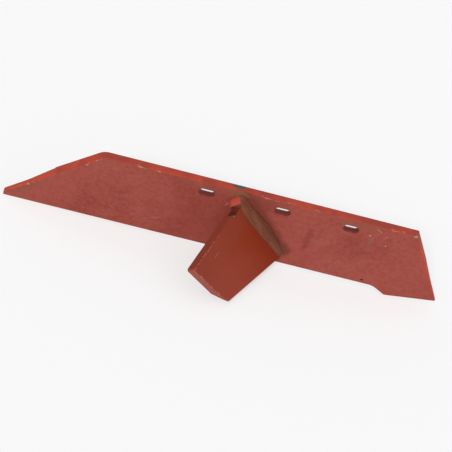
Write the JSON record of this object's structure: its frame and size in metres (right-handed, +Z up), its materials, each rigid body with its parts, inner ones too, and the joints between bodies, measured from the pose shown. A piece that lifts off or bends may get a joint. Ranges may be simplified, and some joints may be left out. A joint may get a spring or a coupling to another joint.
{
  "type": "plough share",
  "caption": "Long bevelled steel plough share with slotted bolt holes near its top edge, a heel horn, and a support bracket welded at an angle to its back.",
  "frame": {"origin": "bottom centre of the bounding box, level with the tip of the heel horn", "axes": "+X along the blade from its point to its heel, +Y from the back face towards the soil face, +Z up the blade from its cutting edge to its top edge"},
  "size_m": [0.6008, 0.1292, 0.111],
  "materials": {
    "blade_primer": "dusty red oxide primer over rolled steel, matte, mottled",
    "bracket_primer": "red oxide primer over flame-cut plate, matte",
    "weld_primer": "brown heat-stained primer over a rippled weld bead, matte"
  },
  "bodies": {
    "root": {"share_blade": "blade_primer", "support_bracket": "bracket_primer", "weld_bead": "weld_primer"}
  },
  "joints": []
}
